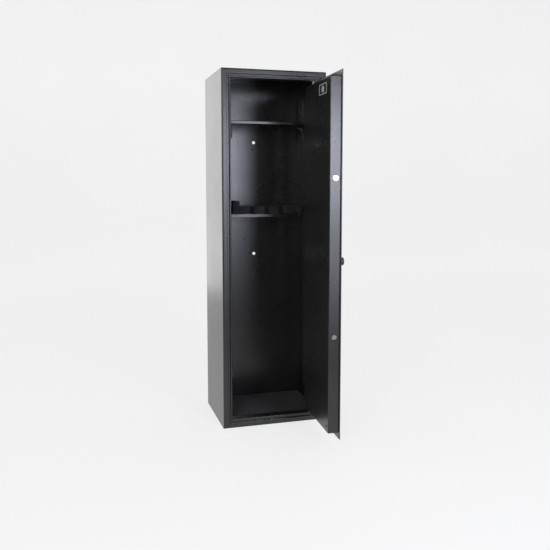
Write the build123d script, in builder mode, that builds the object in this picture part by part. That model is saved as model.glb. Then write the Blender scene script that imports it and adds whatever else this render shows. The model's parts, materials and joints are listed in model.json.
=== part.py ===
"""Long-gun safe: a steel cabinet with one hinged door, two locking bolts, a shelf and a barrel rest.

Row frame: +X to the right along the front, +Y towards the wall, +Z up, millimetres. The origin is the
centre of the base's underside. "inset" is a distance from the cabinet's outer edge towards its centre,
and "depth" is a distance behind the front face. Door pieces are drawn with the door closed and are then
swung about the hinge to the angle at which the open safe is stored.
"""
from build123d import *
import os
from math import cos, pi, sin

os.makedirs("parts", exist_ok=True)

# ---- Cabinet ----
WIDTH = 450
DEPTH = 360
HEIGHT = 1500
SHEET = 3
EDGE_BEND = 6
EDGE_FLANGE = 10
FRONT_Y = -DEPTH / 2
BACK_Y = DEPTH / 2
SIDE_X = WIDTH / 2
MID_Z = HEIGHT / 2

# ---- Front frame: a folded profile round the door opening ----
FRAME_SHEET = 2
FRAME_FACE_DEPTH = 0.5
GROOVE_OUTER = 22
GROOVE_INNER = 31.5
GROOVE_DEPTH = 11
OPENING_INSET = 38
JAMB_DEPTH = 40
FRAME_BEND = 1.6

# ---- Wall anchor holes in the back ----
ANCHOR_HOLE_R = 7
ANCHOR_HOLE_Z = (704, 1222)

# ---- Rubber stops on the lock jamb ----
STOP_Z = (250, 1250)
STOP_HALF = 30
STOP_REACH = 6
STOP_DEPTH = 17
STOP_T = 12.6
STOP_EDGE_R = 1.5

# ---- Door ----
DOOR_SHEET = 4
DOOR_GAP = 3.5
DOOR_END_GAP = 4
DOOR_HINGE_GAP = 5.5
DOOR_REST_ANGLE = 87
PAN_DEPTH = 47.5
PAN_SHEET = 2
PAN_FREE_MARGIN = 8
PAN_HINGE_MARGIN = 21
PAN_END_MARGIN = 23.5
PAN_BEND = 3
DOOR_CORNER_R = 1.2
PAN_SCREW_CLEARANCE = 0.2
PAN_BOLT_CLEARANCE = 1
ANGLE_T = 3

OPENING_X = SIDE_X - OPENING_INSET
OPENING_LOW_Z = OPENING_INSET
OPENING_HIGH_Z = HEIGHT - OPENING_INSET
DOOR_FREE_X = -OPENING_X + DOOR_GAP
DOOR_HINGE_X = OPENING_X - DOOR_HINGE_GAP
DOOR_LOW_Z = OPENING_LOW_Z + DOOR_END_GAP
DOOR_HIGH_Z = OPENING_HIGH_Z - DOOR_END_GAP
PAN_FREE_X = DOOR_FREE_X + PAN_FREE_MARGIN
PAN_HINGE_X = DOOR_HINGE_X - PAN_HINGE_MARGIN
PAN_LOW_Z = DOOR_LOW_Z + PAN_END_MARGIN
PAN_HIGH_Z = DOOR_HIGH_Z - PAN_END_MARGIN

# ---- Hinge ----
PIVOT_X = OPENING_X - 16
PIVOT_DEPTH = 11
PIVOT_Y = FRONT_Y + PIVOT_DEPTH
PIN_R = 4
PIN_BOSS_R = 6
PIN_CLEARANCE = 0.05
HINGE_PLATE_T = 3
HINGE_PLATE_REACH = 21
HINGE_PLATE_DEPTHS = (3, 27)
HINGE_PLATE_CORNER = 4
LUG_T = 5
LUG_WIDTH = 18
LUG_REACH = 61
LUG_LEG_T = 3.5
LUG_LEG_HEIGHT = 15
LUG_LEG_REACH = (56, 14)
WASHER_T = 1.7
PIN_SHOULDER = 2
PIN_END = 4.5
PIN_TIP = 1
HOOK_SHEET = 3
HOOK_DEPTHS = (24, 44.5)
HOOK_REACH = 8
HOOK_HALF = 600
DOOR_HINGE = Axis((PIVOT_X, PIVOT_Y, 0), (0, 0, 1))

# ---- Pan screws and their pillars ----
SCREW_EDGE = 20
SCREW_ROW_PITCH = 330
PILLAR_R = 5
SCREW_R = 2
SCREW_LENGTH = 14
SCREW_HEAD_R = 4.5
SCREW_HEAD_T = 1.8
SCREW_HEAD_EDGE = 1.2
SCREW_CROSS = (4.6, 0.9)
SCREW_CROSS_DEPTH = 1

# ---- Blank plate on the inside of the door ----
PLATE_Z = 1395
PLATE_SIZE = (100, 44)
PLATE_CORNER = 4
PLATE_T = 0.8

# ---- Locking bolts and their bar ----
BOLT_R = 11
BOLT_DEPTH = 23.7
BOLT_STROKE = 24
BOLT_SOCKET = 2 * BOLT_R + 3
BOLT_Z = (MID_Z - 305, MID_Z + 305)
BOLT_INNER_X = -113
BAR_T = 4
BAR_LEFT_X = -125
BAR_RIGHT_X = -103
BAR_TAB_X = -95
BAR_END_MARGIN = 15
BAR_TAB_DROP = 28
NOTCH_IN_BAR = 10
FORK_MARGIN = 0.5
BOLT_NOSE = 1.5
CROSS_SCREW_R = 2.5
CROSS_SCREW_X = BOLT_INNER_X - 6
CROSS_SCREW_RECESS = 0.6
GUIDE_X = -162
GUIDE_HALF = 16
GUIDE_WEB_T = 6
GUIDE_FOOT = 26
FIT = 0.05
SLACK = 0.3

# ---- Knob, spindle and cam disc ----
KNOB_X = -85
KNOB_Z = 728
KNOB_TIP = 40
SPINDLE_R = 5
CAM_R = 51
CAM_START_R = 18
CAM_DEPTH = 26.7
CAM_T = 4
CAM_SLOT_POINTS = 8
CAM_SLOT_CLEARANCE = 0.25
FOLLOWER_R = 4
FOLLOWER_STEM_R = 3
SPINDLE_TAIL = 8
SPINDLE_NOSE = 30
SPINDLE_CHAMFER = 0.8
NUT_R = 9.2
NUT_T = 5
BUSH_R = 8
BUSH_LENGTH = 18
BUSH_FLANGE_R = 13
ROSE_R = 24
ROSE_T = 3
ROSE_EDGE = 1.2
KNOB_BACK = 3.4
KNOB_WAIST = 18.4
KNOB_NECK_R = 10
KNOB_R = 16
KNOB_EDGE = 4
KNOB_BORE = 26.6
FLUTE_COUNT = 12
FLUTE_RING_R = 17.6
FLUTE_R = 2.6

# ---- Key lock ----
KEY_Z = 850
CYLINDER_R = 8.5
FINGER_R = 9
FINGER_PIN_R = 2.5
FINGER_WIDTH = 8
FINGER_HUB_R = 6
FINGER_PIN_GAP = 0.4
FINGER_T = 3
CYLINDER_BACK = 12
CYLINDER_LENGTH = 15
KEY_SLOT = (2.2, 9)
KEY_SLOT_R = 2.2
KEY_SLOT_BACK = 7
BORE_CLEARANCE = 0.1
LOCK_BOLT_X = KNOB_X + 12
LOCK_BOLT_W = 12
LOCK_BOLT_FRONT = 20
LOCK_BOLT_BACK = 27.4
CASE_LOW_Z = 793
CASE_HIGH_Z = 878
CASE_LEFT_X = -101
CASE_RIGHT_X = -50
CASE_FRONT = 7
CASE_BACK = 31
ARM_LOW_Z = 768
ARM_HIGH_Z = 791
ARM_RIGHT_X = -35
CASE_SHEET = 1.5
CASE_SCREW_EDGE = (4, 5)
CASE_SCREW_R = 1.7
CASE_SCREW_HEAD = (3.2, 2)
LOCK_BOLT_RECESS = 2
LOCK_BOLT_NECK = 8
LOCK_BOLT_HEAD = (-10, 22)
LOCK_BOLT_HEAD_SIDES = (3, 5)
FINGER_SLOT_CLEARANCE = 0.45
HARD_PLATE_MARGIN = (8, 6)
ESCUTCHEON_SIZE = (62, 34)
ESCUTCHEON_RISE = 6
ESCUTCHEON_T = 3
ESCUTCHEON_EDGE = 1
RIVET_RISE = 19
RIVET_R = 2
RIVET_HEAD_R = 3.6
RIVET_HEAD_T = 1.6
RIVET_HEAD_GAP = 0.3
RIVET_EDGE = 1
RIVET_FOOT = 0.1
COVER_BACK = 3.3
COVER_T = 1.6
COVER_R = 11
COVER_EYE_R = 6

# ---- Shelf and its slotted strips ----
SHELF_TOP_Z = 1300
SHELF_LIP = 12
SHELF_FRONT = 110
SHELF_BACK = 352
SHELF_HALF = 214
SHELF_SHEET = 1.5
SHELF_BEND = 2.5
STRIP_DEPTHS = (135, 310)
STRIP_LOW_Z = 1236
STRIP_HIGH_Z = 1416
STRIP_WIDTH = 44
STRIP_STAND = 6
STRIP_SHEET = 1.5
STRIP_BEND = 1.6
SLOT_PITCH = 22
SLOT_FIRST_Z = 1259
SLOT_COUNT = 7
SLOT_SIZE = (14, 5)
CLIP_WIDTH = 12
CLIP_SLOT_Z = 1281
CLIP_REACH = 16
CLIP_SEAT_T = 4
CLIP_WEB_T = 2
CLIP_HOOK_REACH = 4.5
CLIP_HOOK_HALF = 2

# ---- Barrel rest ----
RACK_Z = 902
RACK_FRONT = 105
RACK_BACK = 205
RACK_HALF = 221.5
RACK_SHEET = 2
APRON_DEPTH = 170
APRON_HEIGHT = 16
RACK_FLANGE = 54
RACK_SCREW_DEPTHS = (179, 197)
RACK_SCREW_Z = 864
RACK_SCREW_R = 3
RACK_SCREW_CLEARANCE = 0.2
RACK_NUT_T = 4
RACK_BEND = 2
FOAM_HEIGHT = 33
TALL_FOAM_HEIGHT = 57
FOAM_SPLIT_X = 127
FOAM_HALF = 219
NOTCH_PITCH = 67.5
NOTCH_WIDTH = 30
NOTCH_DEPTH = 60

# ---- Floor pad ----
PAD_THICKNESS = 22
PAD_HALF = 221
PAD_GAP = 1
PAD_EDGE_R = 3

CUT_MARGIN = 1

BODY_SHEET_INSIDE = SIDE_X - SHEET


def face_plane(depth):
    """A plane parallel to the front face, X to the right and Z up, whose normal points out of the safe."""
    return Plane(origin=(0, FRONT_Y + depth, 0), x_dir=(1, 0, 0), z_dir=(0, -1, 0))


def span(low_x, high_x, low_y, high_y, mode=Mode.ADD):
    """A rectangle between two corners of the current sketch plane."""
    with Locations(((low_x + high_x) / 2, (low_y + high_y) / 2)):
        Rectangle(high_x - low_x, high_y - low_y, mode=mode)


def save(piece, label):
    piece.label = label
    export_step(piece, f"parts/{label}.step")


def save_on_door(piece, label):
    """Swing a piece drawn with the door closed to the stored opening angle."""
    save(piece.rotate(DOOR_HINGE, DOOR_REST_ANGLE), label)


# ---------------------------------------------------------------- cabinet shell and front frame

def edge_plane(side):
    """A profile plane at the middle of one outer front edge: x is the inset, y is the depth."""
    origins = {
        "left": (-SIDE_X, FRONT_Y, MID_Z),
        "right": (SIDE_X, FRONT_Y, MID_Z),
        "top": (0, FRONT_Y, HEIGHT),
        "bottom": (0, FRONT_Y, 0),
    }
    insets = {"left": (1, 0, 0), "right": (-1, 0, 0), "top": (0, 0, -1), "bottom": (0, 0, 1)}
    inset = Vector(*insets[side])
    return Plane(origin=origins[side], x_dir=inset, z_dir=inset.cross(Vector(0, 1, 0)))


def mitred(side, path, bend, sheet):
    """Extrude a folded-sheet profile along one edge of the front and mitre both of its ends.

    path is the sheet's middle line, as (inset, depth) points, and bend is the radius of its folds.
    """
    plane = edge_plane(side)
    half = MID_Z if side in ("left", "right") else SIDE_X
    with BuildPart() as member:
        with BuildSketch(plane):
            with BuildLine():
                FilletPolyline(*path, radius=bend)
            trace(line_width=sheet)
        extrude(amount=half, both=True)
        for end in (1, -1):
            corner = plane.origin + plane.z_dir * half * end
            split(bisect_by=Plane(origin=corner, z_dir=plane.x_dir + plane.z_dir * end), keep=Keep.BOTTOM)
    return member.part


def shell_panel(side):
    """An outer panel with its front edge folded inwards."""
    middle = SHEET / 2
    path = [(middle, DEPTH), (middle, middle), (EDGE_FLANGE, middle)]
    return mitred(side, path, EDGE_BEND - middle, SHEET)


def frame_member(side):
    """The front face and the bottom of the groove, folded from one sheet."""
    middle = FRAME_SHEET / 2
    face = FRAME_FACE_DEPTH + middle
    groove = GROOVE_DEPTH - middle
    path = [
        (EDGE_FLANGE, face),
        (GROOVE_OUTER - middle, face),
        (GROOVE_OUTER - middle, groove),
        (GROOVE_INNER, groove),
    ]
    return mitred(side, path, FRAME_BEND, FRAME_SHEET)


def jamb_member(side):
    """The groove's inner wall, the rim of the opening and the jamb, folded from one sheet."""
    middle = FRAME_SHEET / 2
    face = FRAME_FACE_DEPTH + middle
    path = [
        (GROOVE_INNER + middle, GROOVE_DEPTH),
        (GROOVE_INNER + middle, face),
        (OPENING_INSET - middle, face),
        (OPENING_INSET - middle, JAMB_DEPTH),
    ]
    return mitred(side, path, FRAME_BEND, FRAME_SHEET)


save(shell_panel("left"), "left_side_panel")
save(shell_panel("right"), "right_side_panel")
save(shell_panel("top"), "top_panel")
save(shell_panel("bottom"), "base_panel")
for side in ("left", "right", "top", "bottom"):
    save(frame_member(side), f"frame_{side}")
for side in ("right", "top", "bottom"):
    save(jamb_member(side), f"jamb_{side}")

with BuildPart() as jamb_left:
    add(jamb_member("left"))
    with BuildSketch(Plane.YZ.offset(-OPENING_X + CUT_MARGIN)):
        with Locations(*[(FRONT_Y + BOLT_DEPTH, z) for z in BOLT_Z]):
            Rectangle(BOLT_SOCKET, BOLT_SOCKET)
    extrude(amount=-(FRAME_SHEET + 2 * CUT_MARGIN), mode=Mode.SUBTRACT)
save(jamb_left.part, "jamb_left")

with BuildPart() as back_panel:
    with BuildSketch(face_plane(DEPTH)):
        span(-BODY_SHEET_INSIDE, BODY_SHEET_INSIDE, SHEET, HEIGHT - SHEET)
        with Locations(*[(0, z) for z in ANCHOR_HOLE_Z]):
            Circle(ANCHOR_HOLE_R, mode=Mode.SUBTRACT)
    extrude(amount=SHEET)
save(back_panel.part, "back_panel")

with BuildPart() as door_stops:
    with BuildSketch(face_plane(STOP_DEPTH)):
        for z in STOP_Z:
            span(-OPENING_X, -OPENING_X + STOP_REACH, z - STOP_HALF, z + STOP_HALF)
    extrude(amount=STOP_T)
    fillet(door_stops.edges().filter_by(Axis.Y), radius=STOP_EDGE_R)
save(door_stops.part, "door_stops")


# ---------------------------------------------------------------- hinge

def hinge_set(end_z, inward, suffix):
    """Frame plate, stepped pin and the door's lug, at one end of the opening, and the washer's place.

    end_z is the opening's end, and inward is -1 at the top and +1 at the bottom.
    """
    plate_face = end_z + inward * HINGE_PLATE_T
    lug_face = (PAN_HIGH_Z if inward < 0 else PAN_LOW_Z) - inward * LUG_T
    shoulder = lug_face - inward * PIN_SHOULDER
    pin_end = lug_face + inward * (LUG_T + PIN_END)

    with BuildPart() as plate:
        with BuildSketch(Plane.XY.offset(end_z)):
            front, back = [FRONT_Y + depth for depth in HINGE_PLATE_DEPTHS]
            span(PIVOT_X - HINGE_PLATE_REACH, OPENING_X, front, back)
            with Locations((PIVOT_X, PIVOT_Y)):
                Circle(PIN_R, mode=Mode.SUBTRACT)
        extrude(amount=inward * HINGE_PLATE_T)
        fillet(plate.edges().filter_by(Axis.Z).sort_by(Axis.X)[:2], radius=HINGE_PLATE_CORNER)
    save(plate.part, f"hinge_plate_{suffix}")

    with BuildPart() as pin:
        with BuildSketch(Plane.XY.offset(end_z)):
            with Locations((PIVOT_X, PIVOT_Y)):
                Circle(PIN_R)
        extrude(amount=pin_end - end_z)
        with BuildSketch(Plane.XY.offset(plate_face)):
            with Locations((PIVOT_X, PIVOT_Y)):
                Circle(PIN_BOSS_R)
        extrude(amount=shoulder - plate_face)
        tip = pin.edges().filter_by(GeomType.CIRCLE).sort_by(Axis.Z)
        chamfer(tip[0] if inward < 0 else tip[-1], length=PIN_TIP)

    with BuildPart() as lug:
        with BuildSketch(Plane.XY.offset(lug_face)):
            span(PIVOT_X - LUG_REACH, PIVOT_X, FRONT_Y + DOOR_SHEET, FRONT_Y + DOOR_SHEET + LUG_WIDTH)
            with Locations((PIVOT_X, PIVOT_Y)):
                Circle(PIVOT_DEPTH - DOOR_SHEET)
                Circle(PIN_R + PIN_CLEARANCE, mode=Mode.SUBTRACT)
        extrude(amount=inward * LUG_T)
        with BuildSketch(face_plane(DOOR_SHEET + LUG_LEG_T)):
            leg = sorted((lug_face, lug_face - inward * LUG_LEG_HEIGHT))
            span(PIVOT_X - LUG_LEG_REACH[0], PIVOT_X - LUG_LEG_REACH[1], *leg)
        extrude(amount=LUG_LEG_T)
    save_on_door(lug.part, f"door_hinge_lug_{suffix}")
    return pin.part, lug_face - inward * (PIN_SHOULDER - WASHER_T) / 2


top_pin, top_washer_face = hinge_set(OPENING_HIGH_Z, -1, "top")
bottom_pin, bottom_washer_face = hinge_set(OPENING_LOW_Z, 1, "bottom")

with BuildPart() as hinge_pins:
    add(top_pin)
    add(bottom_pin)
save(hinge_pins.part, "hinge_pins")

with BuildPart() as hinge_washers:
    for face, outward in ((top_washer_face, 1), (bottom_washer_face, -1)):
        with BuildSketch(Plane.XY.offset(face)):
            with Locations((PIVOT_X, PIVOT_Y)):
                Circle(PIN_BOSS_R)
                Circle(PIN_R + PIN_CLEARANCE, mode=Mode.SUBTRACT)
        extrude(amount=outward * WASHER_T)
save(hinge_washers.part, "hinge_washers")


# ---------------------------------------------------------------- shelf

def strip(side, depth):
    """A slotted channel on a side wall; side is -1 at the left and +1 at the right."""
    web_x = side * (BODY_SHEET_INSIDE - STRIP_STAND)
    wall_x = side * BODY_SHEET_INSIDE
    middle = FRONT_Y + depth
    half = (STRIP_WIDTH - STRIP_SHEET) / 2
    sheet_x = web_x + side * STRIP_SHEET / 2
    with BuildPart() as channel:
        with BuildSketch(Plane.XY.offset(STRIP_LOW_Z)):
            with BuildLine():
                FilletPolyline(
                    (wall_x, middle - half),
                    (sheet_x, middle - half),
                    (sheet_x, middle + half),
                    (wall_x, middle + half),
                    radius=STRIP_BEND,
                )
            trace(line_width=STRIP_SHEET)
        extrude(amount=STRIP_HIGH_Z - STRIP_LOW_Z)
        with BuildSketch(Plane.YZ.offset(web_x - side * CUT_MARGIN)):
            with Locations(*[(middle, SLOT_FIRST_Z + k * SLOT_PITCH) for k in range(SLOT_COUNT)]):
                Rectangle(*SLOT_SIZE)
        extrude(amount=side * (STRIP_SHEET + 2 * CUT_MARGIN), mode=Mode.SUBTRACT)
    return channel.part


for side_name, side in (("left", -1), ("right", 1)):
    for place, depth in zip(("front", "rear"), STRIP_DEPTHS):
        save(strip(side, depth), f"shelf_strip_{side_name}_{place}")

clip_top = SHELF_TOP_Z - SHELF_LIP
clip_low = CLIP_SLOT_Z - CLIP_HOOK_HALF

with BuildPart() as shelf_clips:
    for side in (-1, 1):
        web_x = side * (BODY_SHEET_INSIDE - STRIP_STAND)
        tongue = sorted((web_x, web_x - side * CLIP_REACH))
        web = sorted((web_x, web_x - side * CLIP_WEB_T))
        hook = sorted((web_x - side * CLIP_WEB_T, web_x + side * CLIP_HOOK_REACH))
        for depth in STRIP_DEPTHS:
            middle = FRONT_Y + depth
            with BuildSketch(Plane.XZ.offset(-(middle - CLIP_WIDTH / 2))):
                span(*tongue, clip_top - CLIP_SEAT_T, clip_top)
                span(*web, clip_low, clip_top)
                span(*hook, clip_low, CLIP_SLOT_Z + CLIP_HOOK_HALF)
            extrude(amount=-CLIP_WIDTH)
save(shelf_clips.part, "shelf_clips")

with BuildPart() as shelf:
    with BuildSketch(Plane.XY.offset(SHELF_TOP_Z)):
        span(-SHELF_HALF, SHELF_HALF, FRONT_Y + SHELF_FRONT, FRONT_Y + SHELF_BACK)
    extrude(amount=-SHELF_LIP)
    fillet(shelf.faces().sort_by(Axis.Z)[-1].edges(), radius=SHELF_BEND)
    offset(amount=-SHELF_SHEET, openings=shelf.faces().sort_by(Axis.Z)[0])
save(shelf.part, "shelf")


# ---------------------------------------------------------------- barrel rest

def notch(x):
    """A round-ended slot cut into the front of the foam, open to the front."""
    front = FRONT_Y + RACK_FRONT
    end = front + NOTCH_DEPTH - NOTCH_WIDTH / 2
    span(x - NOTCH_WIDTH / 2, x + NOTCH_WIDTH / 2, front - CUT_MARGIN, end, mode=Mode.SUBTRACT)
    with Locations((x, end)):
        Circle(NOTCH_WIDTH / 2, mode=Mode.SUBTRACT)


def foam(low_x, high_x, height, notches):
    """A block of foam that reaches forwards from its bracket, with the notches in its free part."""
    with BuildPart() as block:
        with BuildSketch(Plane.XY.offset(RACK_Z)):
            span(low_x, high_x, FRONT_Y + RACK_FRONT, FRONT_Y + RACK_BACK)
            for x in notches:
                notch(x)
        extrude(amount=height)
    return block.part


end_notch = (FOAM_SPLIT_X + FOAM_HALF) / 2
save(foam(-FOAM_SPLIT_X, FOAM_SPLIT_X, FOAM_HEIGHT, (-NOTCH_PITCH, 0, NOTCH_PITCH)), "rack_foam_middle")
save(foam(-FOAM_HALF, -FOAM_SPLIT_X, TALL_FOAM_HEIGHT, (-end_notch,)), "rack_foam_left")
save(foam(FOAM_SPLIT_X, FOAM_HALF, FOAM_HEIGHT, (end_notch,)), "rack_foam_right")

rack_screw_places = [(FRONT_Y + depth, RACK_SCREW_Z) for depth in RACK_SCREW_DEPTHS]

with BuildPart() as rack_bracket:
    apron_y = FRONT_Y + APRON_DEPTH
    leg_z = RACK_Z - RACK_SHEET / 2
    with BuildSketch(Plane.YZ.offset(-RACK_HALF)):
        with BuildLine():
            FilletPolyline(
                (apron_y, RACK_Z - APRON_HEIGHT),
                (apron_y, leg_z),
                (FRONT_Y + RACK_BACK, leg_z),
                radius=RACK_BEND,
            )
        trace(line_width=RACK_SHEET)
    extrude(amount=2 * RACK_HALF)
    for side in (-1, 1):
        with BuildSketch(Plane.YZ.offset(side * RACK_HALF)):
            span(apron_y, FRONT_Y + RACK_BACK, RACK_Z - RACK_FLANGE, leg_z)
            with Locations(*rack_screw_places):
                Circle(RACK_SCREW_R + RACK_SCREW_CLEARANCE, mode=Mode.SUBTRACT)
        extrude(amount=-side * RACK_SHEET)
save(rack_bracket.part, "rack_bracket")

with BuildPart() as rack_screws:
    for side in (-1, 1):
        with BuildSketch(Plane.YZ.offset(side * BODY_SHEET_INSIDE)):
            with Locations(*rack_screw_places):
                Circle(RACK_SCREW_R)
        extrude(amount=-side * (BODY_SHEET_INSIDE - RACK_HALF + RACK_SHEET))
        with BuildSketch(Plane.YZ.offset(side * (RACK_HALF - RACK_SHEET))):
            with Locations(*rack_screw_places):
                RegularPolygon(2 * RACK_SCREW_R, 6)
        extrude(amount=-side * RACK_NUT_T)
save(rack_screws.part, "rack_screws")

with BuildPart() as floor_pad:
    with BuildSketch(Plane.XY.offset(SHEET)):
        span(-PAD_HALF, PAD_HALF, FRONT_Y + JAMB_DEPTH + PAD_GAP, BACK_Y - SHEET - PAD_GAP)
    extrude(amount=PAD_THICKNESS)
    fillet(floor_pad.faces().sort_by(Axis.Z)[-1].edges(), radius=PAD_EDGE_R)
save(floor_pad.part, "floor_pad")


# ---------------------------------------------------------------- door leaf

pillar_x = (PAN_FREE_X + SCREW_EDGE, PAN_HINGE_X - SCREW_EDGE)
pillar_z = [MID_Z + row * SCREW_ROW_PITCH for row in range(-2, 3)]
pillar_places = [(x, z) for x in pillar_x for z in pillar_z]

with BuildPart() as door_plate:
    with BuildSketch(face_plane(DOOR_SHEET)):
        span(DOOR_FREE_X, DOOR_HINGE_X, DOOR_LOW_Z, DOOR_HIGH_Z)
        with Locations((KNOB_X, KNOB_Z)):
            Circle(BUSH_R + BORE_CLEARANCE, mode=Mode.SUBTRACT)
        with Locations((KNOB_X, KEY_Z)):
            Circle(CYLINDER_R + BORE_CLEARANCE, mode=Mode.SUBTRACT)
    extrude(amount=DOOR_SHEET)
    fillet(door_plate.edges().filter_by(Axis.Z), radius=DOOR_CORNER_R)
save_on_door(door_plate.part, "door_plate")

with BuildPart() as door_pan:
    with BuildSketch(face_plane(PAN_DEPTH)):
        span(PAN_FREE_X, PAN_HINGE_X, PAN_LOW_Z, PAN_HIGH_Z)
    extrude(amount=PAN_DEPTH - DOOR_SHEET)
    fillet(door_pan.edges().filter_by(Axis.Y), radius=PAN_BEND)
    fillet(door_pan.faces().sort_by(Axis.Y)[-1].edges(), radius=PAN_BEND)
    offset(amount=-PAN_SHEET, openings=door_pan.faces().sort_by(Axis.Y)[0])
    with BuildSketch(face_plane(PAN_DEPTH + CUT_MARGIN)):
        with Locations(*pillar_places):
            Circle(SCREW_R + PAN_SCREW_CLEARANCE)
    extrude(amount=PAN_SHEET + 2 * CUT_MARGIN, mode=Mode.SUBTRACT)
    with BuildSketch(Plane.YZ.offset(PAN_FREE_X - CUT_MARGIN)):
        with Locations(*[(FRONT_Y + BOLT_DEPTH, z) for z in BOLT_Z]):
            Circle(BOLT_R + PAN_BOLT_CLEARANCE)
    extrude(amount=PAN_SHEET + 2 * CUT_MARGIN, mode=Mode.SUBTRACT)
save_on_door(door_pan.part, "door_pan")

with BuildPart() as pan_pillars:
    with BuildSketch(face_plane(PAN_DEPTH - PAN_SHEET)):
        with Locations(*pillar_places):
            Circle(PILLAR_R)
            Circle(SCREW_R, mode=Mode.SUBTRACT)
    extrude(amount=PAN_DEPTH - PAN_SHEET - DOOR_SHEET)
save_on_door(pan_pillars.part, "pan_pillars")

with BuildPart() as pan_screws:
    head_depth = PAN_DEPTH + SCREW_HEAD_T
    with BuildSketch(face_plane(head_depth)):
        with Locations(*pillar_places):
            Circle(SCREW_HEAD_R)
    extrude(amount=SCREW_HEAD_T)
    fillet(pan_screws.faces().sort_by(Axis.Y)[-len(pillar_places):].edges(), radius=SCREW_HEAD_EDGE)
    with BuildSketch(face_plane(PAN_DEPTH)):
        with Locations(*pillar_places):
            Circle(SCREW_R)
    extrude(amount=SCREW_LENGTH)
    with BuildSketch(face_plane(head_depth)):
        with Locations(*pillar_places):
            Rectangle(*SCREW_CROSS)
            Rectangle(*reversed(SCREW_CROSS))
    extrude(amount=SCREW_CROSS_DEPTH, mode=Mode.SUBTRACT)
save_on_door(pan_screws.part, "pan_screws")

with BuildPart() as hinge_side_hook:
    with BuildSketch(Plane.XY.offset(MID_Z)):
        with BuildLine():
            FilletPolyline(
                (PAN_HINGE_X + HOOK_SHEET / 2, FRONT_Y + HOOK_DEPTHS[0]),
                (PAN_HINGE_X + HOOK_SHEET / 2, FRONT_Y + HOOK_DEPTHS[1]),
                (OPENING_X + HOOK_REACH, FRONT_Y + HOOK_DEPTHS[1]),
                radius=HOOK_SHEET,
            )
        trace(line_width=HOOK_SHEET)
    extrude(amount=HOOK_HALF, both=True)
save_on_door(hinge_side_hook.part, "hinge_side_hook")

with BuildPart() as certificate_plate:
    with BuildSketch(face_plane(PAN_DEPTH + PLATE_T)):
        with Locations((KNOB_X, PLATE_Z)):
            RectangleRounded(*PLATE_SIZE, PLATE_CORNER)
    extrude(amount=PLATE_T)
save_on_door(certificate_plate.part, "certificate_plate")

with BuildPart() as hard_plate:
    with BuildSketch(face_plane(CASE_FRONT)):
        side_margin, end_margin = HARD_PLATE_MARGIN
        span(
            CASE_LEFT_X - side_margin,
            CASE_RIGHT_X + side_margin,
            CASE_LOW_Z - end_margin,
            CASE_HIGH_Z + end_margin,
        )
        with Locations((KNOB_X, KEY_Z)):
            Circle(CYLINDER_R + BORE_CLEARANCE, mode=Mode.SUBTRACT)
    extrude(amount=CASE_FRONT - DOOR_SHEET)
save_on_door(hard_plate.part, "hard_plate")


def bolt_guide(z, label):
    """An angle on the door plate whose web holds the bolt's running bore."""
    with BuildPart() as guide:
        with BuildSketch(Plane.YZ.offset(GUIDE_X)):
            with Locations((FRONT_Y + BOLT_DEPTH, z)):
                Circle(GUIDE_HALF)
            span(FRONT_Y + DOOR_SHEET, FRONT_Y + BOLT_DEPTH, z - GUIDE_HALF, z + GUIDE_HALF)
            with Locations((FRONT_Y + BOLT_DEPTH, z)):
                Circle(BOLT_R + FIT, mode=Mode.SUBTRACT)
        extrude(amount=GUIDE_WEB_T)
        with BuildSketch(face_plane(DOOR_SHEET + ANGLE_T)):
            span(GUIDE_X + GUIDE_WEB_T, GUIDE_X + GUIDE_FOOT, z - GUIDE_HALF, z + GUIDE_HALF)
        extrude(amount=ANGLE_T)
    save_on_door(guide.part, label)


bolt_guide(BOLT_Z[1], "bolt_guide_upper")
bolt_guide(BOLT_Z[0], "bolt_guide_lower")


# ---------------------------------------------------------------- bolts and bolt bar

def locking_bolt(z, label):
    """A round bolt whose forked inner end straddles the bar."""
    with BuildPart() as bolt:
        with BuildSketch(Plane.YZ.offset(PAN_FREE_X)):
            with Locations((FRONT_Y + BOLT_DEPTH, z)):
                Circle(BOLT_R)
        extrude(amount=BOLT_INNER_X - PAN_FREE_X)
        chamfer(bolt.faces().sort_by(Axis.X)[0].edges(), length=BOLT_NOSE)
        with BuildSketch(Plane.XY.offset(z)):
            middle = FRONT_Y + BOLT_DEPTH
            half = BAR_T / 2 + FIT
            span(BAR_LEFT_X - FORK_MARGIN, BOLT_INNER_X + CUT_MARGIN, middle - half, middle + half)
        extrude(amount=BOLT_R + CUT_MARGIN, both=True, mode=Mode.SUBTRACT)
        with BuildSketch(face_plane(BOLT_DEPTH + BOLT_R + CUT_MARGIN)):
            with Locations((CROSS_SCREW_X, z)):
                Circle(CROSS_SCREW_R + FIT)
        extrude(amount=2 * (BOLT_R + CUT_MARGIN), mode=Mode.SUBTRACT)
    save_on_door(bolt.part, label)


locking_bolt(BOLT_Z[1], "locking_bolt_upper")
locking_bolt(BOLT_Z[0], "locking_bolt_lower")

with BuildPart() as bolt_bar:
    with BuildSketch(face_plane(BOLT_DEPTH + BAR_T / 2)):
        span(BAR_LEFT_X, BAR_RIGHT_X, BOLT_Z[0] - BAR_END_MARGIN, BOLT_Z[1] + BAR_END_MARGIN)
        span(BAR_LEFT_X, BAR_TAB_X, KNOB_Z - BAR_TAB_DROP, ARM_HIGH_Z)
        span(BAR_LEFT_X, ARM_RIGHT_X, ARM_LOW_Z, ARM_HIGH_Z)
        for x in (LOCK_BOLT_X, LOCK_BOLT_X + BOLT_STROKE):
            half = LOCK_BOLT_W / 2 + SLACK
            low_z = ARM_HIGH_Z - NOTCH_IN_BAR
            span(x - half, x + half, low_z, ARM_HIGH_Z + CUT_MARGIN, mode=Mode.SUBTRACT)
        with Locations(*[(CROSS_SCREW_X, z) for z in BOLT_Z]):
            Circle(CROSS_SCREW_R + FIT, mode=Mode.SUBTRACT)
        with Locations((KNOB_X - CAM_START_R, KNOB_Z)):
            Circle(FOLLOWER_STEM_R, mode=Mode.SUBTRACT)
    extrude(amount=BAR_T)
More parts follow.
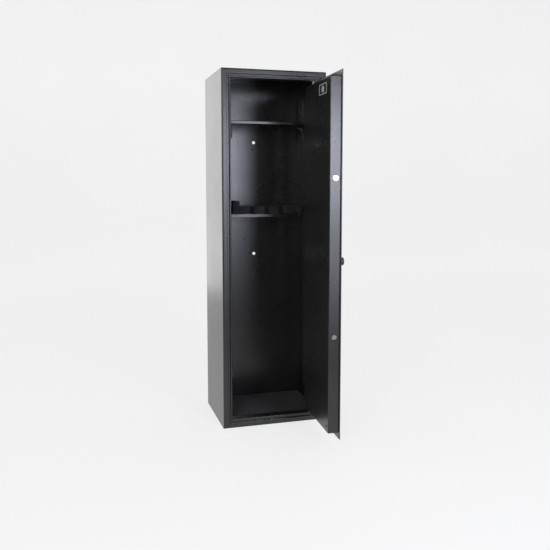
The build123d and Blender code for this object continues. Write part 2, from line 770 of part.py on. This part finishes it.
save_on_door(bolt_bar.part, "bolt_bar")

with BuildPart() as bolt_cross_screws:
    screw_half = BOLT_R - CROSS_SCREW_RECESS
    with BuildSketch(face_plane(BOLT_DEPTH + screw_half)):
        with Locations(*[(CROSS_SCREW_X, z) for z in BOLT_Z]):
            Circle(CROSS_SCREW_R)
    extrude(amount=2 * screw_half)
save_on_door(bolt_cross_screws.part, "bolt_cross_screws")

with BuildPart() as follower_pin:
    roller_back = CAM_DEPTH + CAM_T + 1
    bar_back = BOLT_DEPTH + BAR_T / 2
    with BuildSketch(face_plane(roller_back)):
        with Locations((KNOB_X - CAM_START_R, KNOB_Z)):
            Circle(FOLLOWER_R)
    extrude(amount=roller_back - bar_back)
    with BuildSketch(face_plane(bar_back)):
        with Locations((KNOB_X - CAM_START_R, KNOB_Z)):
            Circle(FOLLOWER_STEM_R)
    extrude(amount=BAR_T)
save_on_door(follower_pin.part, "follower_pin")


# ---------------------------------------------------------------- knob, spindle and cam disc

def cam_point(turn):
    """The slot's centre line: its radius grows evenly as the disc turns from 0 to a quarter."""
    radius = CAM_START_R + BOLT_STROKE * turn
    angle = pi + turn * pi / 2
    return (KNOB_X + radius * cos(angle), KNOB_Z + radius * sin(angle))


with BuildPart() as cam_disc:
    with BuildSketch(face_plane(CAM_DEPTH + CAM_T)):
        with Locations((KNOB_X, KNOB_Z)):
            Circle(CAM_R)
            Circle(SPINDLE_R, mode=Mode.SUBTRACT)
        with BuildLine():
            Spline(*[cam_point(step / CAM_SLOT_POINTS) for step in range(CAM_SLOT_POINTS + 1)])
        trace(line_width=2 * (FOLLOWER_R + CAM_SLOT_CLEARANCE), mode=Mode.SUBTRACT)
        with Locations(cam_point(0), cam_point(1)):
            Circle(FOLLOWER_R + CAM_SLOT_CLEARANCE, mode=Mode.SUBTRACT)
    extrude(amount=CAM_T)
save_on_door(cam_disc.part, "cam_disc")

with BuildPart() as knob_spindle:
    spindle_back = CAM_DEPTH + CAM_T + SPINDLE_TAIL
    with BuildSketch(face_plane(spindle_back)):
        with Locations((KNOB_X, KNOB_Z)):
            Circle(SPINDLE_R)
    extrude(amount=spindle_back + SPINDLE_NOSE)
    chamfer(knob_spindle.edges().filter_by(GeomType.CIRCLE), length=SPINDLE_CHAMFER)
save_on_door(knob_spindle.part, "knob_spindle")

with BuildPart() as spindle_nut:
    with BuildSketch(face_plane(CAM_DEPTH + CAM_T + NUT_T)):
        with Locations((KNOB_X, KNOB_Z)):
            RegularPolygon(NUT_R, 6)
            Circle(SPINDLE_R, mode=Mode.SUBTRACT)
    extrude(amount=NUT_T)
save_on_door(spindle_nut.part, "spindle_nut")

with BuildPart() as spindle_bush:
    with BuildSketch(face_plane(BUSH_LENGTH)):
        with Locations((KNOB_X, KNOB_Z)):
            Circle(BUSH_R)
            Circle(SPINDLE_R + FIT, mode=Mode.SUBTRACT)
    extrude(amount=BUSH_LENGTH)
    with BuildSketch(face_plane(DOOR_SHEET + ANGLE_T)):
        with Locations((KNOB_X, KNOB_Z)):
            Circle(BUSH_FLANGE_R)
            Circle(BUSH_R, mode=Mode.SUBTRACT)
    extrude(amount=ANGLE_T)
save_on_door(spindle_bush.part, "spindle_bush")

with BuildPart() as knob_rose:
    with BuildSketch(face_plane(0)):
        with Locations((KNOB_X, KNOB_Z)):
            Circle(ROSE_R)
            Circle(SPINDLE_R + SLACK, mode=Mode.SUBTRACT)
    extrude(amount=ROSE_T)
    chamfer(knob_rose.faces().sort_by(Axis.Y)[0].outer_wire().edges(), length=ROSE_EDGE)
save_on_door(knob_rose.part, "knob_rose")

with BuildPart() as knob:
    with BuildSketch(face_plane(-KNOB_BACK)):
        with Locations((KNOB_X, KNOB_Z)):
            Circle(KNOB_NECK_R)
    extrude(amount=KNOB_WAIST - KNOB_BACK)
    with BuildSketch(face_plane(-KNOB_WAIST)):
        with Locations((KNOB_X, KNOB_Z)):
            Circle(KNOB_R)
    extrude(amount=KNOB_TIP - KNOB_WAIST)
    fillet(knob.faces().sort_by(Axis.Y)[0].edges(), radius=KNOB_EDGE)
    with BuildSketch(face_plane(-KNOB_WAIST)):
        with Locations((KNOB_X, KNOB_Z)):
            with PolarLocations(FLUTE_RING_R, FLUTE_COUNT):
                Circle(FLUTE_R)
    extrude(amount=KNOB_TIP - KNOB_WAIST, mode=Mode.SUBTRACT)
    with BuildSketch(face_plane(-KNOB_BACK)):
        with Locations((KNOB_X, KNOB_Z)):
            Circle(SPINDLE_R)
    extrude(amount=KNOB_BORE, mode=Mode.SUBTRACT)
save_on_door(knob.part, "knob")


# ---------------------------------------------------------------- key lock

finger_x = KNOB_X + FINGER_R * cos(pi / 4)
finger_z = KEY_Z + FINGER_R * sin(pi / 4)

with BuildPart() as key_cylinder:
    with BuildSketch(face_plane(CYLINDER_BACK)):
        with Locations((KNOB_X, KEY_Z)):
            Circle(CYLINDER_R)
    extrude(amount=CYLINDER_LENGTH)
    with BuildSketch(face_plane(KEY_SLOT_BACK)):
        with Locations((KNOB_X, KEY_Z)):
            Rectangle(*KEY_SLOT)
            Circle(KEY_SLOT_R)
    extrude(amount=CYLINDER_LENGTH, mode=Mode.SUBTRACT)
save_on_door(key_cylinder.part, "key_cylinder")

with BuildPart() as cylinder_finger:
    finger_back = CYLINDER_BACK + FINGER_T
    pin_back = LOCK_BOLT_BACK - FINGER_PIN_GAP
    with BuildSketch(face_plane(finger_back)):
        with Locations((KNOB_X, KEY_Z)):
            Circle(FINGER_HUB_R)
        with BuildLine():
            Line((KNOB_X, KEY_Z), (finger_x, finger_z))
        trace(line_width=FINGER_WIDTH)
        with Locations((finger_x, finger_z)):
            Circle(FINGER_WIDTH / 2)
    extrude(amount=FINGER_T)
    with BuildSketch(face_plane(pin_back)):
        with Locations((finger_x, finger_z)):
            Circle(FINGER_PIN_R)
    extrude(amount=pin_back - finger_back)
save_on_door(cylinder_finger.part, "cylinder_finger")

with BuildPart() as lock_bolt:
    with BuildSketch(face_plane(LOCK_BOLT_BACK)):
        low_x = LOCK_BOLT_X - LOCK_BOLT_W / 2
        high_x = LOCK_BOLT_X + LOCK_BOLT_W / 2
        head_left, head_right = LOCK_BOLT_HEAD_SIDES
        head_low, head_high = LOCK_BOLT_HEAD
        span(low_x, high_x, CASE_LOW_Z + LOCK_BOLT_RECESS, KEY_Z - LOCK_BOLT_NECK)
        span(low_x - head_left, high_x + head_right, KEY_Z + head_low, KEY_Z + head_high)
        half_slot = FINGER_PIN_R + FINGER_SLOT_CLEARANCE
        slot = (low_x - head_left - CUT_MARGIN, LOCK_BOLT_X)
        span(*slot, finger_z - half_slot, finger_z + half_slot, mode=Mode.SUBTRACT)
    extrude(amount=LOCK_BOLT_BACK - LOCK_BOLT_FRONT)
save_on_door(lock_bolt.part, "lock_bolt")

case_screw_x = (CASE_LEFT_X + CASE_SCREW_EDGE[0], CASE_RIGHT_X - CASE_SCREW_EDGE[0])
case_screw_z = (CASE_LOW_Z + CASE_SCREW_EDGE[1], CASE_HIGH_Z - CASE_SCREW_EDGE[1])
case_screw_places = [(x, z) for x in case_screw_x for z in case_screw_z]

with BuildPart() as lock_case:
    with BuildSketch(face_plane(CASE_BACK)):
        span(CASE_LEFT_X, CASE_RIGHT_X, CASE_LOW_Z, CASE_HIGH_Z)
    extrude(amount=CASE_BACK - CASE_FRONT)
    offset(amount=-CASE_SHEET, openings=lock_case.faces().sort_by(Axis.Y)[0])
    with BuildSketch(Plane.XY.offset(CASE_LOW_Z - CUT_MARGIN)):
        half = LOCK_BOLT_W / 2 + SLACK
        span(
            LOCK_BOLT_X - half,
            LOCK_BOLT_X + half,
            FRONT_Y + LOCK_BOLT_FRONT - SLACK,
            FRONT_Y + LOCK_BOLT_BACK + SLACK,
        )
    extrude(amount=CASE_SHEET + 2 * CUT_MARGIN, mode=Mode.SUBTRACT)
    with BuildSketch(face_plane(CASE_BACK + CUT_MARGIN)):
        with Locations(*case_screw_places):
            Circle(CASE_SCREW_R + BORE_CLEARANCE)
    extrude(amount=CASE_SHEET + 2 * CUT_MARGIN, mode=Mode.SUBTRACT)
save_on_door(lock_case.part, "lock_case")

with BuildPart() as lock_case_screws:
    head_r, head_t = CASE_SCREW_HEAD
    with BuildSketch(face_plane(CASE_BACK + head_t)):
        with Locations(*case_screw_places):
            Circle(head_r)
    extrude(amount=head_t)
    with BuildSketch(face_plane(CASE_BACK)):
        with Locations(*case_screw_places):
            Circle(CASE_SCREW_R)
    extrude(amount=CASE_BACK - CASE_FRONT)
save_on_door(lock_case_screws.part, "lock_case_screws")

with BuildPart() as key_escutcheon:
    with BuildSketch(face_plane(0)):
        with Locations((KNOB_X, KEY_Z + ESCUTCHEON_RISE)):
            SlotOverall(*ESCUTCHEON_SIZE, rotation=90)
        with Locations((KNOB_X, KEY_Z)):
            Circle(CYLINDER_R + BORE_CLEARANCE, mode=Mode.SUBTRACT)
        with Locations((KNOB_X, KEY_Z + RIVET_RISE)):
            Circle(RIVET_R, mode=Mode.SUBTRACT)
    extrude(amount=ESCUTCHEON_T)
    chamfer(key_escutcheon.faces().sort_by(Axis.Y)[0].outer_wire().edges(), length=ESCUTCHEON_EDGE)
save_on_door(key_escutcheon.part, "key_escutcheon")

with BuildPart() as keyhole_cover:
    with BuildSketch(face_plane(-COVER_BACK)):
        with Locations((KNOB_X, KEY_Z)):
            Circle(COVER_R)
        with Locations((KNOB_X, KEY_Z + RIVET_RISE)):
            Circle(COVER_EYE_R)
        make_hull()
        with Locations((KNOB_X, KEY_Z + RIVET_RISE)):
            Circle(RIVET_R + FIT, mode=Mode.SUBTRACT)
    extrude(amount=COVER_T)
save_on_door(keyhole_cover.part, "keyhole_cover")

with BuildPart() as cover_rivet:
    head_back = COVER_BACK + COVER_T + RIVET_HEAD_GAP
    with BuildSketch(face_plane(-RIVET_FOOT)):
        with Locations((KNOB_X, KEY_Z + RIVET_RISE)):
            Circle(RIVET_R)
    extrude(amount=head_back - RIVET_FOOT)
    with BuildSketch(face_plane(-head_back)):
        with Locations((KNOB_X, KEY_Z + RIVET_RISE)):
            Circle(RIVET_HEAD_R)
    extrude(amount=RIVET_HEAD_T)
    fillet(cover_rivet.faces().sort_by(Axis.Y)[0].edges(), radius=RIVET_EDGE)
save_on_door(cover_rivet.part, "cover_rivet")
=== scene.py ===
"""The look of an open long-gun safe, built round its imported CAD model.

Metres, in the row frame: the front faces -Y, +Z is up, and the door stands open at DOOR_ANGLE.
"""

import json
import math

import bmesh
import bpy
from mathutils import Matrix, Vector, noise


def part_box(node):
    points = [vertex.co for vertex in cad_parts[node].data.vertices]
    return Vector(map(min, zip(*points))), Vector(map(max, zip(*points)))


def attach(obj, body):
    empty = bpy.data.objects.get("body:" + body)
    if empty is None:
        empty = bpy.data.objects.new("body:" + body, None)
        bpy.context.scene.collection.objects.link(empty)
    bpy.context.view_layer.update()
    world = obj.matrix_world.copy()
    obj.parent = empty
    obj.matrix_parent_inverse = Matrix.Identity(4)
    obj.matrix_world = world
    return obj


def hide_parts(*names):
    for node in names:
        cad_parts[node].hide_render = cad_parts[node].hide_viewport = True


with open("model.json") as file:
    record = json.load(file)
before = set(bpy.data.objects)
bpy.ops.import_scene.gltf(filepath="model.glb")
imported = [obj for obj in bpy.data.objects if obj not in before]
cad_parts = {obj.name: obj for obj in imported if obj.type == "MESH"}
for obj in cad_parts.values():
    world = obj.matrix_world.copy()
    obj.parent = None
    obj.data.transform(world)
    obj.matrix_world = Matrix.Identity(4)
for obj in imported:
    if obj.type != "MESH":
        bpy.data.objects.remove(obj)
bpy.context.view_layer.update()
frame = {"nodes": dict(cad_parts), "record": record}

# ---- Sizes that the frame doesn't give ----
DOOR_ANGLE = math.radians(87)
NOTCH_WIDTH = 0.030
NOTCH_DEPTH = 0.060
NOTCH_PITCH = 0.0675
PLATE_THICKNESS = 0.0008
MARK_HEIGHT = 0.0003
RIM_OUTER = (0.096, 0.041, 0.004)  # width, height and corner radius, as in the three below
RIM_INNER = (0.084, 0.034, 0.003)
OVAL_OUTER = (0.032, 0.025, 0.0124)
OVAL_INNER = (0.0042, 0.0042, 0.002)
ARC_STEPS = 10
SMOOTHING_FACTOR = 0.5

# ---- Stage ----
STAGE_FRONT_Y = -1.5
STAGE_TURN_Y = 5.0
STAGE_BEND_RADIUS = 2.5
STAGE_TOP_Z = 9.0
STAGE_HALF_WIDTH = 12.0
STAGE_GRAIN = 1.5
STAGE_GLOW = 0.755
DOME_GLOW = 0.83
DOME_RADIUS = 22
WORLD_GLOW = 0.30
WHITE = (1.0, 1.0, 1.0)
COOL_WHITE = (0.82, 0.85, 1.0)

# ---- Camera: the shift is half of what the uprights ask for, so that other views keep the top ----
LENS = 44.353
SENSOR = 36
SHIFT_X = 0.00157
SHIFT_Y = -30 / 550
CAMERA_PLACE = (-0.7965, -2.9072, 1.0408)
CAMERA_YAW = 0.28281
CAMERA_PITCH = -0.09298
CAMERA_ROLL = -0.00016
CAMERA_REACH = 60


# ---------------------------------------------------------------- materials

class Finish:
    """A node material round one Principled shader, with helpers for its textures.

    Textures read the object's own coordinates, which are metres in the row frame.
    """

    def __init__(self, name, **sockets):
        self.material = bpy.data.materials.new(name)
        self.material.use_nodes = True
        self.tree = self.material.node_tree
        self.shader = self.tree.nodes["Principled BSDF"]
        for socket, value in sockets.items():
            self.shader.inputs[socket.replace("_", " ")].default_value = value
        self.place = self.node("ShaderNodeTexCoord").outputs["Object"]

    def node(self, kind, **inputs):
        made = self.tree.nodes.new(kind)
        for socket, value in inputs.items():
            self.feed(made.inputs[socket.replace("_", " ")], value)
        return made

    def feed(self, socket, value):
        if isinstance(value, bpy.types.NodeSocket):
            self.tree.links.new(value, socket)
        else:
            socket.default_value = value

    def grain(self, size, detail=3, stretch=(1, 1, 1)):
        """Noise with features about size across, drawn out along axes where stretch is small."""
        scaled = self.node("ShaderNodeMapping", Vector=self.place, Scale=stretch)
        texture = self.node(
            "ShaderNodeTexNoise", Vector=scaled.outputs[0], Scale=1 / size, Detail=detail
        )
        return texture.outputs["Fac"]

    def cells(self, size):
        texture = self.node("ShaderNodeTexVoronoi", Vector=self.place, Scale=1 / size)
        return texture.outputs["Distance"]

    def spread(self, source, low, high, start=0.35, end=0.65):
        mapped = self.node("ShaderNodeMapRange", Value=source)
        ends = {"From Min": start, "From Max": end, "To Min": low, "To Max": high}
        for socket, value in ends.items():
            mapped.inputs[socket].default_value = value
        return mapped.outputs[0]

    def colour(self, source, low, high, start=0.35, end=0.65):
        ramp = self.node("ShaderNodeValToRGB", Fac=source)
        for stop, place, value in zip(ramp.color_ramp.elements, (start, end), (low, high)):
            stop.position = place
            stop.color = (*value, 1)
        self.feed(self.shader.inputs["Base Color"], ramp.outputs[0])

    def rough(self, source, low, high):
        self.feed(self.shader.inputs["Roughness"], self.spread(source, low, high))

    def bump(self, *layers):
        """Each layer is (height texture, depth in metres, strength)."""
        normal = None
        for height, depth, strength in layers:
            bump = self.node("ShaderNodeBump", Height=height, Distance=depth, Strength=strength)
            if normal is not None:
                self.feed(bump.inputs["Normal"], normal)
            normal = bump.outputs[0]
        self.feed(self.shader.inputs["Normal"], normal)


def powder_coat():
    """Black semi-gloss paint with a fine orange-peel grain and faint handling marks."""
    finish = Finish("powder_coat", Specular_IOR_Level=0.5)
    smudge = finish.grain(0.16, detail=5)
    finish.colour(smudge, (0.0138, 0.0138, 0.0148), (0.0170, 0.0171, 0.0183))
    finish.rough(smudge, 0.265, 0.290)
    finish.bump(
        (finish.grain(0.0016, detail=2), 0.00010, 0.5),
        (finish.cells(0.0011), 0.00006, 0.3),
    )
    return finish.material


def plated_steel():
    """Zinc-plated steel, bluish, with fine rolling lines."""
    finish = Finish("zinc_plate", Metallic=1.0)
    patch = finish.grain(0.012, detail=4)
    finish.colour(patch, (0.30, 0.31, 0.33), (0.42, 0.43, 0.46))
    finish.rough(patch, 0.34, 0.48)
    finish.bump((finish.grain(0.0009, stretch=(1, 1, 0.06)), 0.00006, 0.4))
    return finish.material


def chrome():
    finish = Finish("bright_chrome", Metallic=1.0)
    film = finish.grain(0.01, detail=4)
    finish.colour(film, (0.76, 0.77, 0.79), (0.84, 0.85, 0.87))
    finish.rough(film, 0.06, 0.15)
    finish.bump((finish.grain(0.0006), 0.00002, 0.2))
    return finish.material


def brass():
    finish = Finish("turned_brass", Metallic=1.0)
    patch = finish.grain(0.004, detail=4)
    finish.colour(patch, (0.58, 0.43, 0.19), (0.74, 0.58, 0.29))
    finish.rough(patch, 0.22, 0.36)
    finish.bump((finish.grain(0.0005), 0.00003, 0.3))
    return finish.material


def satin_black():
    finish = Finish("satin_black", Specular_IOR_Level=0.5)
    touch = finish.grain(0.009, detail=4)
    finish.colour(touch, (0.012, 0.012, 0.013), (0.022, 0.022, 0.023))
    finish.rough(touch, 0.26, 0.38)
    finish.bump((finish.grain(0.0007), 0.00005, 0.3))
    return finish.material


def blackened_steel():
    finish = Finish("blackened_steel", Metallic=0.6)
    wear = finish.grain(0.003, detail=4)
    finish.colour(wear, (0.020, 0.020, 0.021), (0.055, 0.055, 0.058))
    finish.rough(wear, 0.30, 0.45)
    finish.bump((finish.grain(0.0005), 0.00003, 0.3))
    return finish.material


def anodised_plate():
    finish = Finish("black_anodised", Metallic=0.3)
    line = finish.grain(0.0006, stretch=(1, 0.03, 1))
    finish.colour(line, (0.010, 0.010, 0.011), (0.018, 0.018, 0.020))
    finish.rough(line, 0.35, 0.48)
    finish.bump((line, 0.00004, 0.4))
    return finish.material


def silver_print():
    """The plate's bright marks, printed in a silver ink."""
    finish = Finish("silver_print", Metallic=0.25)
    speck = finish.grain(0.0008, detail=4)
    finish.colour(speck, (0.50, 0.50, 0.51), (0.66, 0.66, 0.67))
    finish.rough(speck, 0.38, 0.50)
    finish.bump((speck, 0.00003, 0.3))
    return finish.material


def foam():
    """Dense closed-cell foam with cut cells and soft shade changes."""
    finish = Finish("charcoal_foam", Sheen_Weight=0.05, Sheen_Roughness=0.6, Specular_IOR_Level=0.2)
    shade = finish.grain(0.03, detail=5)
    finish.colour(shade, (0.008, 0.008, 0.009), (0.017, 0.017, 0.019))
    finish.rough(shade, 0.78, 0.92)
    finish.bump((finish.cells(0.0018), 0.0005, 0.6), (finish.grain(0.006), 0.0006, 0.3))
    return finish.material


def carpet():
    """Needle-felt carpet: short tangled fibres, with lighter ones among the dark."""
    finish = Finish(
        "charcoal_carpet", Sheen_Weight=0.08, Sheen_Roughness=0.5, Specular_IOR_Level=0.15
    )
    fibre = finish.grain(0.0022, detail=6)
    finish.colour(fibre, (0.018, 0.018, 0.020), (0.085, 0.085, 0.088), start=0.38, end=0.72)
    finish.rough(finish.grain(0.02), 0.85, 0.97)
    finish.bump((fibre, 0.0012, 0.7), (finish.grain(0.012), 0.0012, 0.3))
    return finish.material


def rubber():
    finish = Finish("stop_rubber", Specular_IOR_Level=0.3)
    shade = finish.grain(0.006, detail=4)
    finish.colour(shade, (0.012, 0.012, 0.012), (0.022, 0.022, 0.022))
    finish.rough(shade, 0.6, 0.75)
    finish.bump((finish.grain(0.0009), 0.0001, 0.3))
    return finish.material


FINISHES = {
    "black_powder_coat": powder_coat(),
    "zinc_plated_steel": plated_steel(),
    "chrome": chrome(),
    "black_knob": satin_black(),
    "brass": brass(),
    "blackened_steel": blackened_steel(),
    "dark_plate": anodised_plate(),
    "charcoal_foam": foam(),
    "charcoal_carpet": carpet(),
    "stop_rubber": rubber(),
}

for subpart in frame["record"]["subparts"]:
    cad_node = frame["nodes"][subpart["node"]]
    for material_slot in cad_node.material_slots:
        material_slot.material = FINISHES[subpart["material_slot"]]


# ---------------------------------------------------------------- soft pieces

def add_mesh(name, made):
    """Turn a bmesh into an object whose origin is the row frame's."""
    mesh = bpy.data.meshes.new(name)
    bmesh.ops.recalc_face_normals(made, faces=made.faces)
    made.to_mesh(mesh)
    made.free()
    piece = bpy.data.objects.new(name, mesh)
    bpy.context.scene.collection.objects.link(piece)
    return piece


def prism(outline, low_z, high_z):
    made = bmesh.new()
    corners = [made.verts.new((x, y, low_z)) for x, y in outline]
    floor = made.faces.new(corners)
    raised = bmesh.ops.extrude_face_region(made, geom=[floor])
    lifted = [item for item in raised["geom"] if isinstance(item, bmesh.types.BMVert)]
    bmesh.ops.translate(made, verts=lifted, vec=(0, 0, high_z - low_z))
    return made


def soften(piece, voxel, smoothing, unevenness, wave):
    """Remesh evenly, round the edges as cut foam is round, and roughen the surface a little."""
    remesh = piece.modifiers.new("even", "REMESH")
    remesh.mode = "VOXEL"
    remesh.voxel_size = voxel
    smooth = piece.modifiers.new("round", "SMOOTH")
    smooth.factor = SMOOTHING_FACTOR
    smooth.iterations = smoothing
    graph = bpy.context.evaluated_depsgraph_get()
    mesh = bpy.data.meshes.new_from_object(piece.evaluated_get(graph))
    piece.modifiers.clear()
    old, piece.data = piece.data, mesh
    bpy.data.meshes.remove(old)
    mesh.name = piece.name
    for vertex in mesh.vertices:
        shift = noise.noise(vertex.co / wave) * unevenness
        vertex.co = vertex.co + vertex.normal * shift
    for polygon in mesh.polygons:
        polygon.use_smooth = True


def dress(piece, body, slot, finish=None):
    piece.data.materials.clear()
    piece.data.materials.append(finish or FINISHES[slot])
    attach(piece, body)


def notched_outline(low, high, notches):
    """A block's plan, with round-ended notches in its front edge."""
    radius = NOTCH_WIDTH / 2
    outline = [(low.x, high.y), (low.x, low.y)]
    for x in notches:
        outline.append((x - radius, low.y))
        centre_y = low.y + NOTCH_DEPTH - radius
        for step in range(ARC_STEPS + 1):
            angle = math.pi - math.pi * step / ARC_STEPS
            outline.append((x + radius * math.cos(angle), centre_y + radius * math.sin(angle)))
        outline.append((x + radius, low.y))
    outline += [(high.x, low.y), (high.x, high.y)]
    return outline


def foam_block(node, notches):
    low, high = map(Vector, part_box(node))
    block = add_mesh(f"{node}_soft", prism(notched_outline(low, high, notches), low.z, high.z))
    soften(block, voxel=0.0028, smoothing=5, unevenness=0.0007, wave=0.03)
    dress(block, "cabinet", "charcoal_foam")
    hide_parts(node)


for foam_node in ("rack_foam_left", "rack_foam_right"):
    foam_low, foam_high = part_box(foam_node)
    foam_block(foam_node, [(foam_low[0] + foam_high[0]) / 2])
foam_block("rack_foam_middle", [-NOTCH_PITCH, 0, NOTCH_PITCH])

pad_low, pad_high = map(Vector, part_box("floor_pad"))
pad_plan = [
    (pad_low.x, pad_low.y),
    (pad_high.x, pad_low.y),
    (pad_high.x, pad_high.y),
    (pad_low.x, pad_high.y),
]
pad = add_mesh("floor_carpet", prism(pad_plan, pad_low.z, pad_high.z))
soften(pad, voxel=0.0032, smoothing=4, unevenness=0.0016, wave=0.055)
dress(pad, "cabinet", "charcoal_carpet")
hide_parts("floor_pad")


# ---------------------------------------------------------------- blank marks on the door's plate

def rounded_outline(width, height, radius):
    outline = []
    for sign_x, sign_y, start in ((1, 1, 0), (-1, 1, 1), (-1, -1, 2), (1, -1, 3)):
        for step in range(ARC_STEPS + 1):
            angle = (start + step / ARC_STEPS) * math.pi / 2
            centre_x, centre_y = sign_x * (width / 2 - radius), sign_y * (height / 2 - radius)
            outline.append(
                (centre_x + radius * math.cos(angle), centre_y + radius * math.sin(angle))
            )
    return outline


def band(name, outer, inner, placing, thickness):
    """A raised band between two outlines with the same number of points."""
    made = bmesh.new()
    rings = [
        [made.verts.new(placing @ Vector((x, y, z))) for x, y in outline]
        for z in (0, thickness)
        for outline in (outer, inner)
    ]
    low_outer, low_inner, high_outer, high_inner = rings
    for first, second in (
        (low_outer, high_outer),
        (high_outer, high_inner),
        (high_inner, low_inner),
        (low_inner, low_outer),
    ):
        for k in range(len(first)):
            after = (k + 1) % len(first)
            made.faces.new((first[k], first[after], second[after], second[k]))
    return add_mesh(name, made)


inward = Vector((-math.sin(DOOR_ANGLE), math.cos(DOOR_ANGLE), 0))
along = Vector((math.cos(DOOR_ANGLE), math.sin(DOOR_ANGLE), 0))
plate_low, plate_high = map(Vector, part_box("certificate_plate"))
plate_face = (plate_low + plate_high) / 2 + inward * PLATE_THICKNESS / 2
placing = Matrix((along, Vector((0, 0, 1)), inward)).transposed().to_4x4()
placing.translation = plate_face

print_finish = silver_print()
for mark_name, mark_outer, mark_inner in (
    ("plate_rim", RIM_OUTER, RIM_INNER),
    ("plate_oval", OVAL_OUTER, OVAL_INNER),
):
    outer, inner = rounded_outline(*mark_outer), rounded_outline(*mark_inner)
    mark = band(mark_name, outer, inner, placing, MARK_HEIGHT)
    dress(mark, "door", "chrome", print_finish)


# ---------------------------------------------------------------- stage, lights and camera

def stage_finish(name, glow):
    finish = Finish(name, Specular_IOR_Level=0, Roughness=1, Emission_Strength=glow)
    finish.shader.inputs["Emission Color"].default_value = (1, 1, 1, 1)
    tone = finish.grain(STAGE_GRAIN)
    finish.colour(tone, (0.240, 0.240, 0.240), (0.255, 0.255, 0.255))
    return finish.material


def sweep():
    """A floor that curves up into a wall far behind the safe."""
    profile = [(STAGE_FRONT_Y, 0)]
    for step in range(ARC_STEPS * 2 + 1):
        angle = math.pi / 2 * step / (ARC_STEPS * 2)
        profile.append((
            STAGE_TURN_Y + STAGE_BEND_RADIUS * math.sin(angle),
            STAGE_BEND_RADIUS - STAGE_BEND_RADIUS * math.cos(angle),
        ))
    profile.append((STAGE_TURN_Y + STAGE_BEND_RADIUS, STAGE_TOP_Z))
    made = bmesh.new()
    left = [made.verts.new((-STAGE_HALF_WIDTH, y, z)) for y, z in profile]
    right = [made.verts.new((STAGE_HALF_WIDTH, y, z)) for y, z in profile]
    for k in range(len(profile) - 1):
        made.faces.new((left[k], right[k], right[k + 1], left[k + 1]))
    floor = add_mesh("studio_sweep", made)
    floor.data.materials.append(stage_finish("pale_stage", STAGE_GLOW))
    for polygon in floor.data.polygons:
        polygon.use_smooth = True
    return floor


def dome():
    """A pale surround for the views that look past the sweep; it neither lights nor is mirrored."""
    made = bmesh.new()
    bmesh.ops.create_icosphere(made, subdivisions=4, radius=DOME_RADIUS)
    surround = add_mesh("studio_dome", made)
    surround.data.materials.append(stage_finish("pale_dome", DOME_GLOW))
    surround.visible_diffuse = False
    surround.visible_glossy = False
    surround.visible_transmission = False
    surround.visible_shadow = False


def soft_light(name, place, aim, size, radiance, tint=WHITE):
    """A rectangular panel that lights and is mirrored, but isn't itself in view."""
    data = bpy.data.lights.new(name, "AREA")
    data.shape = "RECTANGLE"
    data.size, data.size_y = size
    data.energy = radiance * math.pi * data.size * data.size_y
    data.color = tint
    light = bpy.data.objects.new(name, data)
    light.location = place
    light.rotation_mode = "QUATERNION"
    light.rotation_quaternion = (Vector(aim) - Vector(place)).to_track_quat("-Z", "Y")
    light.visible_camera = False
    bpy.context.scene.collection.objects.link(light)
    return light


def spare(light, piece):
    """Keep a light off one piece."""
    spared = bpy.data.collections.new(f"{light.name}_spares")
    spared.objects.link(piece)
    spared.collection_objects[0].light_linking.link_state = "EXCLUDE"
    light.light_linking.receiver_collection = spared


stage = sweep()
dome()
world = bpy.data.worlds.new("studio")
world.use_nodes = True
background = world.node_tree.nodes["Background"]
background.inputs["Color"].default_value = (*WHITE, 1)
background.inputs["Strength"].default_value = WORLD_GLOW
bpy.context.scene.world = world

soft_light(
    "front_box",
    place=(0.98, -3.35, 0.95),
    aim=(0.98, 0, 0.95),
    size=(1.00, 1.66),
    radiance=5.2,
    tint=COOL_WHITE,
)
soft_light(
    "front_core",
    place=(0.76, -3.32, 1.30),
    aim=(0.76, 0, 1.30),
    size=(0.50, 0.84),
    radiance=19.0,
    tint=COOL_WHITE,
)
soft_light(
    "front_left",
    place=(-1.75, -3.20, 1.60),
    aim=(0.10, 0, 0.80),
    size=(1.20, 1.60),
    radiance=6.0,
)
rear = soft_light(
    "rear_left",
    place=(-1.30, 3.20, 1.20),
    aim=(-0.225, 0, 0.90),
    size=(2.40, 2.60),
    radiance=1.10,
)
spare(rear, stage)

camera = bpy.data.objects.new("camera", bpy.data.cameras.new("camera"))
camera.data.lens = LENS
camera.data.sensor_width = SENSOR
camera.data.shift_x = SHIFT_X
camera.data.shift_y = SHIFT_Y
camera.data.clip_end = CAMERA_REACH
facing = Vector((
    math.sin(CAMERA_YAW) * math.cos(CAMERA_PITCH),
    math.cos(CAMERA_YAW) * math.cos(CAMERA_PITCH),
    math.sin(CAMERA_PITCH),
))
camera.location = CAMERA_PLACE
camera.rotation_mode = "QUATERNION"
camera.rotation_quaternion = (
    facing.to_track_quat("-Z", "Y") @ Matrix.Rotation(CAMERA_ROLL, 3, "Z").to_quaternion()
)
bpy.context.scene.collection.objects.link(camera)
bpy.context.scene.camera = camera
bpy.context.scene.view_settings.view_transform = "Standard"
